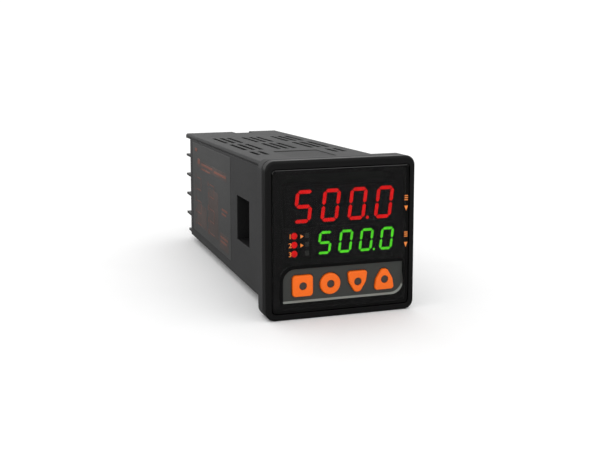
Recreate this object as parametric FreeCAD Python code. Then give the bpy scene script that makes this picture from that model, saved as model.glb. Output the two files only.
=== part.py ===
"""A 1/16 DIN panel-mounted temperature controller, in millimetres.

X points to the right, Y to the rear and Z up. The origin is the centre of the
panel plane: the face of the panel lies at Y = 0, the bezel stands in front of
it (negative Y) and the case reaches through the cut-out behind it.
"""

import FreeCAD, Part
import math
import os

Vector = FreeCAD.Vector

# Bezel, in front of the panel.
bezel_side = 48.0
bezel_corner_radius = 3.0
bezel_edge_radius = 0.8
flange_thickness = 4.0
flange_edge_radius = 0.3
flange_side_overhang = 3.2
flange_top_overhang = 1.9
groove_width = 0.7
groove_depth = 0.7
cap_thickness = 3.1

# Case, behind the panel.
case_wall = 1.8
case_length = 104.0
case_top_edge_radius = 0.9
case_chamfer = 1.2
case_chamfer_edge_radius = 0.4
label_groove_drop = 1.0
label_groove_height = 0.6
label_groove_depth = 0.25

# Clamp pockets, one in each side wall.
pocket_front = 18.8
pocket_length = 14.3
pocket_height = 15.4
pocket_centre_z = -0.1
pocket_depth = 4.5
pocket_wall = 1.2

# Vents in the top wall.
vent_width = 1.6
vent_pitch = 3.0
vent_group_pitch = 12.4
vent_rear_margin = 19.0
vent_rear_length = 20.5
vent_middle_length = 20.0
vent_front_length = 10.0
vent_row_gap = 5.0

# Shallow recess in the top wall, in front of the middle vents.
top_recess_width = 16.0
top_recess_gap = 7.0
top_recess_length = 18.0
top_recess_depth = 0.2

# Terminal guard: the top wall carried on over the terminals, with a notch.
guard_length = 8.0
notch_centre_x = 4.1
notch_width = 7.8
notch_depth = 6.0
notch_radius = 0.8

# Board guides on the floor of the case.
guide_height = 2.0
guide_thickness = 1.0
guide_length = 50.0
guide_rear_gap = 4.2

# Web that closes the mouth of the case between the two terminal blocks.
web_rear_gap = 2.2
web_thickness = 1.8
web_clearance = 0.1

# Bezel cap openings.
cap_ledge_width = 0.8
collar_wall = 0.8
collar_length = 3.0
collar_clearance = 0.2
post_side = 1.2

# Front window.
window_margin_side = 1.8
window_margin_top = 2.5
window_margin_bottom = 2.0
window_corner_radius = 1.4
window_thickness = 1.4
window_clearance = 0.05
window_bevel = 0.35

# Recessed key panel in the lower part of the window.
panel_margin_left = 5.25
panel_margin_right = 3.65
panel_margin_bottom = 5.15
panel_height = 10.35
panel_large_radius = 3.8
panel_small_radius = 0.4
panel_recess = 0.6
panel_clearance = 0.05
panel_rim = 0.7
panel_rim_thickness = 0.6
panel_lip_front_gap = 0.1
panel_lip_width = 0.6
panel_lip_side = 0.35
panel_lip_edge = 0.1

# Keys.
key_end_margin = 3.05
key_gap = 2.35
key_row_drop = 0.1
key_clearance = 0.15
key_corner_radius = 1.1
pointer_tip_half_width = 0.9
pointer_tip_radius = 1.4
pointer_base_radius = 0.9
pointer_shoulder_inset = 0.45
pointer_shoulder_height = 0.1
pointer_shoulder_radius = 3.2
key_front_proud = 0.2
key_crown_radius = 0.45
key_rim = 0.6
key_rim_thickness = 0.8
key_rim_gap = 0.1
key_dot_diameter = 2.4
key_dot_depth = 0.5
key_boss_diameter = 3.0
key_boss_length = 0.2
key_travel = 0.3

# Push switches under the keys.
switch_side = 6.0
switch_height = 3.5
plunger_diameter = 3.4
plunger_engagement = 0.7
plunger_clearance = 0.08
switch_pit_spare = 0.4
plunger_standout = 0.8

# Boards.
board_thickness = 1.6
display_board_clearance = 0.1
pocket_board_gap = 1.0
side_board_top_gap = 2.0
side_board_clearance = 0.15
tongue_collar_gap = 1.6
board_joint_gap = 0.1

# Numeric displays behind the window.
display_window_gap = 0.1
display_side_clearance = 0.1
display_top_margin = 7.8
display_panel_gap = 2.4
display_gap = 0.3
digit_count = 4
segment_depth = 0.8
digit_slant = 7.0
upper_digit_height = 9.9
upper_digit_stroke = 1.1
upper_digit_gap = 3.1
upper_margin_left = 3.15
upper_margin_right = 0.95
lower_digit_height = 7.0
lower_digit_stroke = 0.8
lower_digit_gap = 2.45
lower_margin_left = 2.25
lower_margin_right = 0.65
segment_gap = 0.12
point_offset = 0.4

# Indicator lamps beside the lower display.
lamp_holder_width = 8.0
lamp_holder_gap = 0.4
lamp_holder_wall = 1.15
lamp_pitch = 2.7
lamp_row_drop = 0.1
output_lamp_offset = 3.05
output_lamp_diameter = 2.0
status_lamp_offset = 7.1
status_lamp_width = 1.3
status_lamp_height = 1.5

# Terminal blocks at the rear.
terminal_count = 5
fin_thickness = 0.9
top_bay_height = 7.0
lowest_bay_loss = 1.45
lowest_fin_shortening = 3.2
block_inner_x = 3.6
block_spine = 1.4
block_clearance = 0.15
block_base_depth = 7.8
block_base_step = 0.6
block_slot_depth = 2.0
fin_side_inset = 0.1

# Terminals.
terminal_board_offset = 2.2
terminal_plate_width = 7.6
terminal_bay_clearance = 0.275
terminal_plate_thickness = 0.8
washer_thickness = 0.8
screw_half_excess = 0.1
screw_hole_clearance = 0.05
screw_head_margin = 0.2
screw_head_height = 2.0
screw_reach = 5.0
screw_slot_width = 0.8
screw_slot_margin = 0.9
screw_slot_depth = 0.9
pin_width = 1.6
pin_thickness = 0.5
pin_reach = 3.5
pin_clearance = 0.05

# Parts on the boards.
relay_length = 18.4
relay_height = 10.2
relay_depth = 15.0
relay_gap = 0.8
relay_block_gap = 7.8
relay_floor_gap = 2.6
relay_edge = 0.5
core_width = 16.0
core_leg = 4.0
core_height = 14.0
core_relay_gap = 8.0
bobbin_overhang = 1.2
bobbin_clearance = 0.1
bobbin_flange = 1.0
core_depth = 5.0
transformer_z = 0.0
capacitor_core_gap = 10.0
bulk_capacitor_diameter = 10.0
bulk_capacitor_length = 10.5
bulk_capacitor_z = 7.0
smoothing_capacitor_diameter = 8.0
smoothing_capacitor_length = 11.0
smoothing_capacitor_floor_gap = 4.3
capacitor_rim_radius = 0.6
processor_side = 10.0
processor_height = 1.6
processor_core_lead = 4.0
processor_z = 0.0
header_pins = 8
header_pitch = 2.0
header_body = 2.0
header_tail = 3.0
header_pin_side = 0.5

# How far a cutter reaches past the face that it opens.
cutter_reach = 1.0

# Worked out from the sizes above.
half_bezel = bezel_side / 2
half_width = half_bezel - flange_side_overhang
half_height = half_bezel - flange_top_overhang
inside_half_width = half_width - case_wall
inside_half_height = half_height - case_wall
flange_front = -flange_thickness
cap_back = flange_front - groove_width
cap_front = cap_back - cap_thickness
window_back = cap_front + window_thickness
panel_front = cap_front + panel_recess
panel_back = window_back + panel_rim_thickness
key_front = cap_front - key_front_proud
key_rim_front = panel_back + key_rim_gap
key_rim_back = key_rim_front + key_rim_thickness
key_boss_back = key_rim_back + key_boss_length
switch_front = key_boss_back + plunger_standout
board_front = switch_front + switch_height
display_board_back = board_front + board_thickness
collar_half_width = inside_half_width - collar_clearance
collar_half_height = inside_half_height - collar_clearance
collar_inner_x = collar_half_width - collar_wall
collar_inner_z = collar_half_height - collar_wall
block_base_front = case_length - block_base_depth
block_base_rear = case_length - block_base_step
guard_rear = case_length + guard_length
side_board_x = half_width - pocket_depth - pocket_wall - pocket_board_gap - board_thickness

# Vent rows, from the rear forwards.
vent_rear_row = (case_length - vent_rear_margin - vent_rear_length, case_length - vent_rear_margin)
vent_middle_row = (vent_rear_row[0] - vent_row_gap - vent_middle_length, vent_rear_row[0] - vent_row_gap)
vent_front_row = (vent_middle_row[0] - vent_row_gap - vent_front_length, vent_middle_row[0] - vent_row_gap)

# Key panel and keys.
panel_left = -half_bezel + panel_margin_left
panel_right = half_bezel - panel_margin_right
panel_bottom = -half_bezel + panel_margin_bottom
panel_top = panel_bottom + panel_height
key_shapes = ["square", "round", "down", "up"]
key_names = ["set", "cycle", "down", "up"]
key_row_width = panel_right - panel_left - 2 * key_end_margin
key_size = (key_row_width - (len(key_names) - 1) * key_gap) / len(key_names)
key_row_z = (panel_bottom + panel_top) / 2 - key_row_drop

# Displays: the two bodies share the height above the key panel evenly round their digits.
display_front = window_back + display_window_gap
display_side = collar_inner_x - display_side_clearance
display_top = half_bezel - display_top_margin
display_bottom = panel_top + display_panel_gap
digit_margin = (display_top - display_bottom - display_gap - upper_digit_height - lower_digit_height) / 4
lower_display_top = display_bottom + lower_digit_height + 2 * digit_margin
lamp_holder_right = -display_side + lamp_holder_width
upper_display = {"left": -display_side, "right": display_side,
                 "bottom": lower_display_top + display_gap, "top": display_top}
lower_display = {"left": lamp_holder_right + lamp_holder_gap, "right": display_side,
                 "bottom": display_bottom, "top": lower_display_top}

# Fins of the terminal blocks.
lowest_fin_z = -inside_half_height + block_clearance + fin_thickness / 2
top_fin_z = inside_half_height - top_bay_height - fin_thickness / 2
fin_pitch = (top_fin_z - lowest_fin_z + lowest_bay_loss) / (terminal_count - 1)

# Terminals, as large as the lowest bay lets them be.
terminal_x = side_board_x + terminal_board_offset
terminal_plate_height = fin_pitch - lowest_bay_loss - fin_thickness - 2 * terminal_bay_clearance
washer_side = terminal_plate_height
screw_diameter = washer_side / 2 + screw_half_excess
screw_head_diameter = washer_side - 2 * screw_head_margin
screw_slot_length = screw_head_diameter - 2 * screw_slot_margin

# Parts on the boards, from the terminal blocks forwards.
relay_front = block_base_front - relay_block_gap - relay_length
core_front = relay_front - core_relay_gap - core_width
processor_y = core_front - processor_core_lead
smoothing_capacitor_z = -inside_half_height + smoothing_capacitor_floor_gap + smoothing_capacitor_diameter / 2


def rounded_outline(corners, y):
    """Closed wire in the XZ plane at y from (x, z, radius) corners."""
    count = len(corners)
    edges = []
    starts = []
    ends = []
    for index, (x, z, radius) in enumerate(corners):
        point = Vector(x, y, z)
        before = Vector(corners[index - 1][0], y, corners[index - 1][1]) - point
        after = Vector(corners[(index + 1) % count][0], y, corners[(index + 1) % count][1]) - point
        before.normalize()
        after.normalize()
        if radius <= 0:
            starts.append(point)
            ends.append(point)
            continue
        half_angle = before.getAngle(after) / 2
        setback = radius / math.tan(half_angle)
        inward = before + after
        inward.normalize()
        centre = point + inward * (radius / math.sin(half_angle))
        start = point + before * setback
        end = point + after * setback
        edges.append(Part.Arc(start, centre - inward * radius, end).toShape())
        starts.append(start)
        ends.append(end)
    for index in range(count):
        start = ends[index]
        end = starts[(index + 1) % count]
        if start.distanceToPoint(end) > 1e-6:
            edges.append(Part.LineSegment(start, end).toShape())
    return Part.Wire(Part.__sortEdges__(edges))


def prism(corners, y_front, y_back):
    """Solid of a rounded outline carried from y_front to y_back."""
    face = Part.Face(rounded_outline(corners, y_front))
    return face.extrude(Vector(0, y_back - y_front, 0))


def block(x_range, y_range, z_range):
    """Rectangular solid between two limits on each axis."""
    size = [max(pair) - min(pair) for pair in (x_range, y_range, z_range)]
    corner = Vector(min(x_range), min(y_range), min(z_range))
    return Part.makeBox(size[0], size[1], size[2], corner)


def rod_y(x, z, diameter, y_front, y_back):
    """Cylinder along Y."""
    return Part.makeCylinder(diameter / 2, y_back - y_front, Vector(x, y_front, z), Vector(0, 1, 0))


def rectangle(left, right, bottom, top, radius):
    """Corners of a rectangle with one radius."""
    return [(left, bottom, radius), (right, bottom, radius), (right, top, radius), (left, top, radius)]


def square(half, radius):
    """Corners of a centred square."""
    return rectangle(-half, half, -half, half, radius)


def centred(half_x, half_z, radius):
    """Corners of a centred rectangle."""
    return rectangle(-half_x, half_x, -half_z, half_z, radius)


def front_edges(shape, y):
    """Edges that lie wholly in the plane at y."""
    return [edge for edge in shape.Edges if all(abs(v.Y - y) < 1e-6 for v in edge.Vertexes)
            and abs(edge.CenterOfMass.y - y) < 1e-6]


def mirrored(shape):
    """Copy of a shape on the other side of X = 0."""
    return shape.mirror(Vector(0, 0, 0), Vector(1, 0, 0))


def save(name, shape):
    """Write one node as a STEP file."""
    shape.exportStep(os.path.join("parts", name + ".step"))


# ---------------------------------------------------------------- case


def case_outline():
    """Outer section of the case, with both lower corners cut off at 45 degrees."""
    low_radius = case_chamfer_edge_radius
    return [
        (-half_width, half_height, case_top_edge_radius),
        (-half_width, -half_height + case_chamfer, low_radius),
        (-half_width + case_chamfer, -half_height, low_radius),
        (half_width - case_chamfer, -half_height, low_radius),
        (half_width, -half_height + case_chamfer, low_radius),
        (half_width, half_height, case_top_edge_radius),
    ]


def vent_slot(x, row):
    """Cutter for one slit with round ends, along Y through the top wall."""
    radius = vent_width / 2
    depth = 2 * case_wall
    low = half_height - depth + case_wall / 2
    front, rear = row
    bar = block((x - radius, x + radius), (front + radius, rear - radius), (low, low + depth))
    ends = [Part.makeCylinder(radius, depth, Vector(x, y, low)) for y in (front + radius, rear - radius)]
    return bar.fuse(ends)


def vent_slots():
    """Three groups of slits, with a short outer row beside the top recess."""
    slots = []
    for group in (-1, 0, 1):
        for step in (-1, 0, 1):
            x = group * vent_group_pitch + step * vent_pitch
            slots.append(vent_slot(x, vent_rear_row))
            slots.append(vent_slot(x, vent_middle_row))
            if group and group * step >= 0:
                slots.append(vent_slot(x, vent_front_row))
    return slots


def pocket_ranges(wall):
    """Limits of the right clamp pocket, grown by a wall on its closed sides."""
    reach = pocket_height / 2 + wall
    return (
        (half_width - pocket_depth - wall, half_width - wall / 2),
        (pocket_front - wall, pocket_front + pocket_length + wall),
        (pocket_centre_z - reach, pocket_centre_z + reach),
    )


def guard_notch():
    """Cutter for the notch in the rear edge of the terminal guard."""
    half = notch_width / 2
    front = guard_rear - notch_depth
    low = half_height - 2 * case_wall
    cutter = block((notch_centre_x - half, notch_centre_x + half), (front, guard_rear + cutter_reach),
                   (low, half_height + cutter_reach))
    edges = [edge for edge in cutter.Edges if all(abs(v.Y - front) < 1e-6 for v in edge.Vertexes)
             and abs(edge.Vertexes[0].Z - edge.Vertexes[1].Z) > 1]
    return cutter.makeFillet(notch_radius, edges)


def board_guides():
    """Pairs of ribs on the case floor, with a board between each pair."""
    ribs = []
    outer = side_board_x + board_thickness
    guide_rear = block_base_front - guide_rear_gap
    z_range = (-inside_half_height, -inside_half_height + guide_height)
    for side in (-1, 1):
        inner_rib = side * (side_board_x - side_board_clearance - guide_thickness / 2)
        outer_rib = side * (outer + side_board_clearance + guide_thickness / 2)
        for x in (inner_rib, outer_rib):
            x_range = (x - guide_thickness / 2, x + guide_thickness / 2)
            ribs.append(block(x_range, (guide_rear - guide_length, guide_rear), z_range))
    return ribs


def make_case():
    """Moulded sleeve with front flange, pockets, vents and terminal guard."""
    flange = prism(square(half_bezel, bezel_corner_radius), flange_front, 0)
    rims = front_edges(flange, flange_front) + front_edges(flange, 0)
    flange = flange.makeFillet(flange_edge_radius, rims)
    sleeve = prism(case_outline(), 0, case_length)
    guard = prism(case_outline(), case_length, guard_rear)
    guard = guard.common(block((-half_width, half_width), (case_length, guard_rear),
                               (inside_half_height, half_height)))
    body = flange.fuse([sleeve, guard])
    body = body.cut(prism(centred(inside_half_width, inside_half_height, 0), flange_front - cutter_reach,
                          case_length + cutter_reach))
    pocket_shell = block(*pocket_ranges(pocket_wall))
    web_half = block_inner_x - web_clearance
    web_rear = case_length - web_rear_gap
    web = block((-web_half, web_half), (web_rear - web_thickness, web_rear), (-inside_half_height, inside_half_height))
    body = body.fuse([pocket_shell, mirrored(pocket_shell), web] + board_guides())
    x_range, y_range, z_range = pocket_ranges(0)
    pocket = block((x_range[0], half_width + cutter_reach), y_range, z_range)
    recess_rear = vent_middle_row[0] - top_recess_gap
    recess = block((-top_recess_width / 2, top_recess_width / 2), (recess_rear - top_recess_length, recess_rear),
                   (half_height - top_recess_depth, half_height + cutter_reach))
    line_top = half_height - label_groove_drop
    line = block((half_width - label_groove_depth, half_width + cutter_reach), (0, case_length),
                 (line_top - label_groove_height, line_top))
    cutters = [pocket, mirrored(pocket), recess, line, mirrored(line), guard_notch()] + vent_slots()
    return body.cut(cutters).removeSplitter()


# ---------------------------------------------------------------- front


def window_corners(clearance):
    """Outline of the front window, or of its seat."""
    side = half_bezel - window_margin_side + clearance
    bottom = -half_bezel + window_margin_bottom - clearance
    top = half_bezel - window_margin_top + clearance
    return rectangle(-side, side, bottom, top, window_corner_radius)


def panel_corners(growth):
    """Outline of the key panel: one large radius at the upper left and one at the lower right."""
    small = panel_small_radius + max(growth, 0)
    large = panel_large_radius + growth
    left = panel_left - growth
    right = panel_right + growth
    bottom = panel_bottom - growth
    top = panel_top + growth
    return [(left, bottom, small), (right, bottom, large), (right, top, small), (left, top, large)]


def make_front_bezel():
    """Glossy cap: a frame round the window, with a collar that enters the case."""
    frame = prism(square(half_bezel, bezel_corner_radius), cap_front, cap_back)
    frame = frame.makeFillet(bezel_edge_radius, front_edges(frame, cap_front))
    spigot_half = half_bezel - groove_depth
    spigot = prism(square(spigot_half, bezel_corner_radius - groove_depth), cap_back, flange_front)
    collar = prism(centred(collar_half_width, collar_half_height, 0), flange_front, collar_length)
    cap = frame.fuse([spigot, collar])
    seat = prism(window_corners(window_clearance), cap_front - cutter_reach, window_back)
    ledge = half_bezel - window_margin_side - cap_ledge_width
    low_ledge = half_bezel - window_margin_bottom - cap_ledge_width
    high_ledge = half_bezel - window_margin_top - cap_ledge_width
    throat = prism(rectangle(-ledge, ledge, -low_ledge, high_ledge, window_corner_radius), cap_front, cap_back)
    inside = prism(centred(collar_inner_x, collar_inner_z, 0), cap_back - cutter_reach, collar_length + cutter_reach)
    cap = cap.cut([seat, throat, inside])
    posts = []
    for x_side in (-1, 1):
        for z_side in (-1, 1):
            x_range = (x_side * (collar_inner_x - post_side), x_side * collar_inner_x)
            z_range = (z_side * (collar_inner_z - post_side), z_side * collar_inner_z)
            posts.append(block(x_range, (cap_back, board_front), z_range))
    return cap.fuse(posts).removeSplitter()


def make_front_window():
    """Smoked window over the whole face, cut out for the key panel."""
    window = prism(window_corners(0), cap_front, window_back)
    top = half_bezel - window_margin_top
    upper = [edge for edge in front_edges(window, cap_front) if edge.CenterOfMass.z > top - 1e-6]
    window = window.makeChamfer(window_bevel, upper)
    return window.cut(prism(panel_corners(0), cap_front - cutter_reach, window_back + cutter_reach))


def pointer_corners(growth, direction):
    """Rounded triangle with bulged sides, pointing up (+1) or down (-1)."""
    half = key_size / 2 + growth
    base_radius = pointer_base_radius + growth
    tip_half = pointer_tip_half_width + growth / 2
    tip_radius = pointer_tip_radius + growth / 2
    shoulder_half = half - pointer_shoulder_inset
    corners = [
        (-half, -half, base_radius),
        (half, -half, base_radius),
        (shoulder_half, pointer_shoulder_height, pointer_shoulder_radius),
        (tip_half, half, tip_radius),
        (-tip_half, half, tip_radius),
        (-shoulder_half, pointer_shoulder_height, pointer_shoulder_radius),
    ]
    return [(x, z * direction, radius) for x, z, radius in corners]


def key_corners(shape_name, x, growth):
    """Outline of one key, grown outwards."""
    if shape_name == "square":
        corners = square(key_size / 2 + growth, key_corner_radius + growth)
    elif shape_name == "down":
        corners = pointer_corners(growth, -1)
    else:
        corners = pointer_corners(growth, 1)
    return [(x + cx, key_row_z + cz, radius) for cx, cz, radius in corners]


def key_prism(shape_name, x, growth, y_front, y_back):
    """Solid of one key outline."""
    if shape_name == "round":
        return rod_y(x, key_row_z, key_size + 2 * growth, y_front, y_back)
    return prism(key_corners(shape_name, x, growth), y_front, y_back)


def key_x(index):
    """Centre of a key along the row."""
    return panel_left + key_end_margin + key_size / 2 + index * (key_size + key_gap)


def make_key(index):
    """Key cap with a soft front edge, a centre dimple, a retaining rim and a boss."""
    x = key_x(index)
    shape_name = key_shapes[index]
    cap = key_prism(shape_name, x, 0, key_front, key_rim_front)
    cap = cap.makeFillet(key_crown_radius, front_edges(cap, key_front))
    rim = key_prism(shape_name, x, key_rim, key_rim_front, key_rim_back)
    boss = rod_y(x, key_row_z, key_boss_diameter, key_rim_back, key_boss_back)
    dimple = rod_y(x, key_row_z, key_dot_diameter, key_front - cutter_reach, key_front + key_dot_depth)
    return cap.fuse([rim, boss]).cut(dimple).removeSplitter()


def panel_pocket():
    """Cutter for the recess of the key panel, with a wall that slopes up along the bottom and at the lower right."""
    lip_front = cap_front + panel_lip_front_gap
    past = panel_lip_edge
    front = [
        (panel_left - past, panel_bottom + past, panel_small_radius),
        (panel_right - past, panel_bottom + past, panel_large_radius),
        (panel_right + past, panel_top + past, panel_small_radius),
        (panel_left - past, panel_top + past, panel_large_radius),
    ]
    back = list(front)
    back[0] = (panel_left - past, panel_bottom + panel_lip_width, panel_small_radius)
    back[1] = (panel_right - panel_lip_side, panel_bottom + panel_lip_width, panel_large_radius)
    slope = Part.makeLoft([rounded_outline(front, lip_front), rounded_outline(back, panel_front)], True, True)
    return slope.fuse(prism(front, lip_front - cutter_reach, lip_front))


def make_key_panel():
    """Dark plate that the keys pass through, with a sloped lip below and a rim behind the window."""
    plate = prism(panel_corners(-panel_clearance), cap_front + panel_lip_front_gap, window_back)
    plate = plate.cut(panel_pocket())
    rim = prism(panel_corners(panel_rim), window_back, panel_back)
    holes = [key_prism(name, key_x(index), key_clearance, panel_front - cutter_reach, panel_back + cutter_reach)
             for index, name in enumerate(key_shapes)]
    return plate.fuse(rim).cut(holes).removeSplitter()


def make_plunger(index):
    """Round plunger of a push switch."""
    return rod_y(key_x(index), key_row_z, plunger_diameter, key_boss_back, switch_front + plunger_engagement)


def make_switch(index):
    """Body of a push switch with the pit that its plunger slides in."""
    x = key_x(index)
    half = switch_side / 2
    body = block((x - half, x + half), (switch_front, board_front), (key_row_z - half, key_row_z + half))
    body = body.makeChamfer(plunger_clearance * 4, front_edges(body, switch_front))
    pit_depth = plunger_engagement + key_travel + switch_pit_spare
    pit = rod_y(x, key_row_z, plunger_diameter + 2 * plunger_clearance, switch_front - cutter_reach,
                switch_front + pit_depth)
    return body.cut(pit)


# ---------------------------------------------------------------- displays


segment_letters = {"0": "abcdef", "5": "afgcd"}


def digit_row(limits, height, stroke, gap, margin_left, margin_right):
    """Sizes and places of the digits that fill the width of a display between its two margins."""
    row_width = limits["right"] - limits["left"] - margin_left - margin_right
    width = (row_width - (digit_count - 1) * gap) / digit_count
    return {"height": height, "stroke": stroke, "width": width, "pitch": width + gap,
            "first_x": limits["left"] + margin_left + width / 2,
            "centre_z": (limits["bottom"] + limits["top"]) / 2}


upper_digit = digit_row(upper_display, upper_digit_height, upper_digit_stroke, upper_digit_gap,
                        upper_margin_left, upper_margin_right)
lower_digit = digit_row(lower_display, lower_digit_height, lower_digit_stroke, lower_digit_gap,
                        lower_margin_left, lower_margin_right)


def segment_bars(digit):
    """Centre lines of the seven segments in the digit's own upright frame."""
    half_w = (digit["width"] - digit["stroke"]) / 2
    half_h = (digit["height"] - digit["stroke"]) / 2
    return {
        "a": ((-half_w, half_h), (half_w, half_h)),
        "b": ((half_w, half_h), (half_w, 0)),
        "c": ((half_w, 0), (half_w, -half_h)),
        "d": ((half_w, -half_h), (-half_w, -half_h)),
        "e": ((-half_w, -half_h), (-half_w, 0)),
        "f": ((-half_w, 0), (-half_w, half_h)),
        "g": ((-half_w, 0), (half_w, 0)),
    }


def segment_solid(digit, bar, centre_x):
    """Six-sided segment, leaned with the digit."""
    (ax, az), (bx, bz) = bar
    length = math.hypot(bx - ax, bz - az)
    ux, uz = (bx - ax) / length, (bz - az) / length
    half = digit["stroke"] / 2
    lean = math.tan(math.radians(digit_slant))
    stations = [(segment_gap, 0), (segment_gap + half, half), (length - segment_gap - half, half),
                (length - segment_gap, 0), (length - segment_gap - half, -half), (segment_gap + half, -half)]
    corners = []
    for along, across in stations:
        x = ax + ux * along - uz * across
        z = az + uz * along + ux * across
        corners.append((centre_x + x + z * lean, digit["centre_z"] + z, 0))
    return prism(corners, display_front, display_front + segment_depth)


def digit_centre(digit, place):
    """Centre of one digit, counted from the left."""
    return digit["first_x"] + place * digit["pitch"]


def point_solid(digit, place):
    """Round point at the lower right of a digit."""
    x = digit_centre(digit, place) + digit["width"] / 2 + point_offset
    z = digit["centre_z"] - digit["height"] / 2 + digit["stroke"] / 2
    return rod_y(x, z, digit["stroke"] * 0.9, display_front, display_front + segment_depth)


def segment_solids(digit, reading):
    """Lit and unlit segments of a reading such as 500.0, as two lists."""
    lit = []
    dark = []
    digits = reading.replace(".", "")
    point_place = reading.index(".") - 1
    for place, character in enumerate(digits):
        for letter, bar in segment_bars(digit).items():
            solid = segment_solid(digit, bar, digit_centre(digit, place))
            (lit if letter in segment_letters[character] else dark).append(solid)
        (lit if place == point_place else dark).append(point_solid(digit, place))
    return lit, dark


def make_display(limits, solids):
    """Display body with a pocket for every segment."""
    body = block((limits["left"], limits["right"]), (display_front, board_front),
                 (limits["bottom"], limits["top"]))
    return body.cut(solids)


def lamp_heights():
    """Z of the three lamps in a column, beside the lower digits."""
    middle = lower_digit["centre_z"] - lamp_row_drop
    return [middle + step * lamp_pitch for step in (1, 0, -1)]


def make_output_lamps():
    """Round light pipes of the three output lamps."""
    x = -display_side + output_lamp_offset
    return [rod_y(x, z, output_lamp_diameter, display_front, board_front) for z in lamp_heights()]


def make_status_lamps():
    """Rectangular light pipes of the three status lamps."""
    x = -display_side + status_lamp_offset
    half_w = status_lamp_width / 2
    half_h = status_lamp_height / 2
    return [block((x - half_w, x + half_w), (display_front, board_front), (z - half_h, z + half_h))
            for z in lamp_heights()]


def make_lamp_holder(lamps):
    """Block beside the lower display that holds the light pipes."""
    heights = lamp_heights()
    body = block((-display_side, lamp_holder_right), (display_front, board_front),
                 (heights[-1] - lamp_holder_wall, heights[0] + lamp_holder_wall))
    return body.cut(lamps)


# ---------------------------------------------------------------- boards


def make_display_board():
    """Board behind the bezel, seated on the four corner posts."""
    half_x = collar_inner_x - display_board_clearance
    half_z = collar_inner_z - display_board_clearance
    return block((-half_x, half_x), (board_front, display_board_back), (-half_z, half_z))


def make_side_board(side):
    """Upright board along one side of the case, between floor guides and terminal block."""
    x_range = (side * side_board_x, side * (side_board_x + board_thickness))
    y_front = display_board_back + board_joint_gap
    y_shoulder = collar_length + board_joint_gap
    y_back = block_base_front + block_slot_depth - board_joint_gap
    half_tongue = collar_inner_z - tongue_collar_gap
    tongue = block(x_range, (y_front, y_shoulder), (-half_tongue, half_tongue))
    board = block(x_range, (y_shoulder, y_back),
                  (-inside_half_height + side_board_clearance, inside_half_height - side_board_top_gap))
    return board.fuse(tongue).removeSplitter()


def make_header(side):
    """Pin header between the display board and a side board."""
    x_inner = side * (side_board_x - header_body)
    y_range = (display_board_back, display_board_back + header_body)
    half = header_pins * header_pitch / 2
    body = block((x_inner, side * side_board_x), y_range, (-half, half))
    solids = [body]
    pin_x = side * (side_board_x - header_body / 2)
    half_pin = header_pin_side / 2
    for index in range(header_pins):
        z = (index - (header_pins - 1) / 2) * header_pitch
        pin = block((pin_x - half_pin, pin_x + half_pin), (y_range[1], y_range[1] + header_tail),
                    (z - half_pin, z + half_pin))
        solids.append(pin)
    return solids[0].fuse(solids[1:])


def make_relay(index):
    """Relay case with broken edges, standing on the left board."""
    low = -inside_half_height + relay_floor_gap + index * (relay_height + relay_gap)
    x_range = (-side_board_x, -side_board_x + relay_depth)
    body = block(x_range, (relay_front, relay_front + relay_length), (low, low + relay_height))
    top = x_range[1]
    edges = [edge for edge in body.Edges if all(abs(v.X - top) < 1e-6 for v in edge.Vertexes)]
    return body.makeChamfer(relay_edge, edges)


def transformer_frame():
    """Centre line height and limits shared by the core and its bobbin."""
    y_middle = core_front + core_width / 2
    x_foot = side_board_x - bobbin_overhang
    return y_middle, x_foot


def make_transformer_core():
    """Closed E-shaped core pair with two windows round its middle leg."""
    y_middle, x_foot = transformer_frame()
    half = core_width / 2
    body = block((x_foot - core_height, x_foot), (y_middle - half, y_middle + half),
                 (transformer_z - core_depth / 2, transformer_z + core_depth / 2))
    window_x = (x_foot - core_height + core_leg / 2 + bobbin_clearance, x_foot - core_leg / 2 - bobbin_clearance)
    windows = []
    for side in (-1, 1):
        y_range = (y_middle + side * core_leg / 2, y_middle + side * (half - core_leg / 2))
        windows.append(block(window_x, y_range, (transformer_z - core_depth, transformer_z + core_depth)))
    return body.cut(windows)


def make_transformer_bobbin():
    """Wound bobbin round the middle leg, with end flanges that reach the board."""
    y_middle, x_foot = transformer_frame()
    clear = bobbin_clearance
    x_range = (x_foot - core_height + core_leg / 2 + 2 * clear, x_foot - core_leg / 2 - 2 * clear)
    half_y = core_width / 2 - core_leg / 2 - clear
    half_z = core_depth / 2 + half_y - core_leg / 2
    winding = block((x_range[0] + bobbin_flange, x_range[1] - bobbin_flange),
                    (y_middle - half_y, y_middle + half_y), (transformer_z - half_z, transformer_z + half_z))
    flange_half_z = half_z + bobbin_flange
    flanges = []
    for x_low in (x_range[0], x_range[1] - bobbin_flange):
        flanges.append(block((x_low, x_low + bobbin_flange), (y_middle - half_y, y_middle + half_y),
                             (transformer_z - flange_half_z, transformer_z + flange_half_z)))
    feet = []
    for side in (-1, 1):
        z_range = (transformer_z + side * (core_depth / 2 + clear), transformer_z + side * flange_half_z)
        feet.append(block((x_range[1] - bobbin_flange, side_board_x), (y_middle - half_y, y_middle + half_y), z_range))
    leg_hole = block((x_range[0] - cutter_reach, x_range[1] + cutter_reach),
                     (y_middle - core_leg / 2 - clear, y_middle + core_leg / 2 + clear),
                     (transformer_z - core_depth / 2 - clear, transformer_z + core_depth / 2 + clear))
    return winding.fuse(flanges + feet).cut(leg_hole).removeSplitter()


def make_capacitor(diameter, length, z):
    """Capacitor can standing on the right board in front of the transformer, with a rolled rim."""
    base = Vector(side_board_x, core_front - capacitor_core_gap - diameter / 2, z)
    can = Part.makeCylinder(diameter / 2, length, base, Vector(-1, 0, 0))
    top = side_board_x - length
    rim = [edge for edge in can.Edges if abs(edge.CenterOfMass.x - top) < 1e-6]
    return can.makeFillet(capacitor_rim_radius, rim)


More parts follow.
